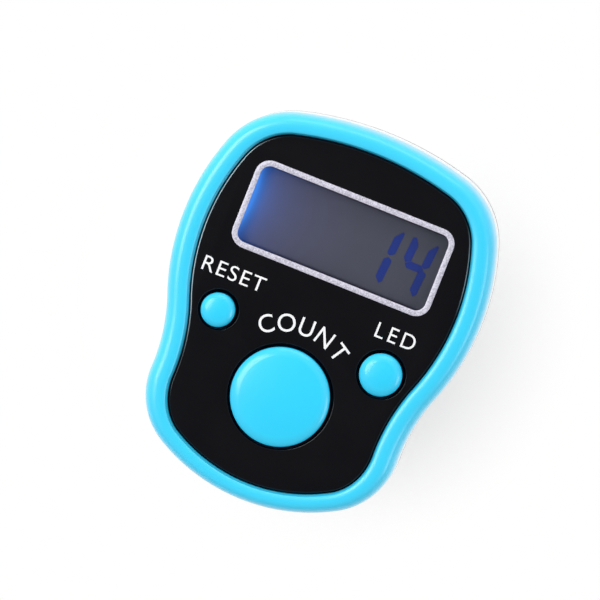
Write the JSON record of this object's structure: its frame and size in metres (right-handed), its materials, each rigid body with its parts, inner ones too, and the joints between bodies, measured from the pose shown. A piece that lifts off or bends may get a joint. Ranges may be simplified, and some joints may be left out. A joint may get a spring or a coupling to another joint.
{
  "type": "digital finger counter",
  "caption": "Pocket-size waisted electronic tally counter with a backlit display, a large press key, small reset and light keys, and a soft strap that goes round a finger.",
  "frame": {"origin": "on the ground below the middle of the case, which stands on the flat of its strap", "axes": "+Z out of the display face, +Y towards the display end, +X to the right of someone reading the display"},
  "size_m": [0.0324, 0.04, 0.0308],
  "materials": {
    "case_colour": "glossy cyan moulded shell",
    "case_white": "glossy white moulded shell",
    "panel_black": "clear sheet printed black on its back",
    "window_clear": "clear acrylic",
    "adhesive_film": "double-sided film",
    "display_glass": "liquid crystal cell glass",
    "polariser_film": "dark grey polarising film",
    "reflector_white": "white film",
    "guide_clear": "clear acrylic light guide",
    "lamp_blue": "side-firing blue lamp",
    "connector_rubber": "striped elastomer",
    "board_green": "solder-masked fibreglass board",
    "resin_black": "black potting resin",
    "chip_black": "chip resistor",
    "chip_brown": "chip capacitor",
    "key_colour": "cyan key caps",
    "dome_rubber": "grey conductive silicone",
    "cell_steel": "nickel-plated can",
    "contact_nickel": "nickel-plated spring strip",
    "door_white": "white moulded door",
    "screw_steel": "zinc-plated",
    "strap_silicone": "soft white silicone",
    "pin_steel": "bright steel pin"
  },
  "bodies": {
    "case": {"front_shell": "case_colour", "rear_shell": "case_white", "face_panel": "panel_black", "display_window": "window_clear", "panel_adhesive": "adhesive_film", "display_glass": "display_glass", "front_polariser": "polariser_film", "backlight_reflector": "reflector_white", "light_guide": "guide_clear", "backlight_led": "lamp_blue", "display_connector": "connector_rubber", "circuit_board": "board_green", "controller_blob": "resin_black", "led_resistor": "chip_black", "supply_capacitor": "chip_brown", "count_dome": "dome_rubber", "reset_dome": "dome_rubber", "light_dome": "dome_rubber", "coin_cell": "cell_steel", "negative_contact": "contact_nickel", "positive_contact": "contact_nickel", "case_screw_left": "screw_steel", "case_screw_right": "screw_steel", "strap_pin": "pin_steel"},
    "count_key": {"count_button": "key_colour"},
    "reset_key": {"reset_button": "key_colour"},
    "light_key": {"light_button": "key_colour"},
    "door": {"battery_door": "door_white", "door_screw_left": "screw_steel", "door_screw_right": "screw_steel"},
    "strap": {"finger_strap": "strap_silicone"}
  },
  "joints": [
    {"name": "count_press", "type": "slide", "parent": "case", "child": "count_key", "axis": [0, 0, -1], "range_m": [0, 0.0008], "stiffness_N_per_m": 300, "springref_m": -0.001, "deforming": ["count_dome"]},
    {"name": "reset_press", "type": "slide", "parent": "case", "child": "reset_key", "axis": [0, 0, -1], "range_m": [0, 0.0008], "stiffness_N_per_m": 300, "springref_m": -0.001, "deforming": ["reset_dome"]},
    {"name": "light_press", "type": "slide", "parent": "case", "child": "light_key", "axis": [0, 0, -1], "range_m": [0, 0.0008], "stiffness_N_per_m": 300, "springref_m": -0.001, "deforming": ["light_dome"]},
    {"name": "door_lift", "type": "slide", "parent": "case", "child": "door", "axis": [0, 0, -1], "range_m": [0, 0.005]},
    {"name": "strap_turn", "type": "hinge", "parent": "case", "child": "strap", "pos_m": [-0.0118, 0.001, 0.0169], "axis": [0, 1, 0], "range_deg": [0, 95]}
  ]
}
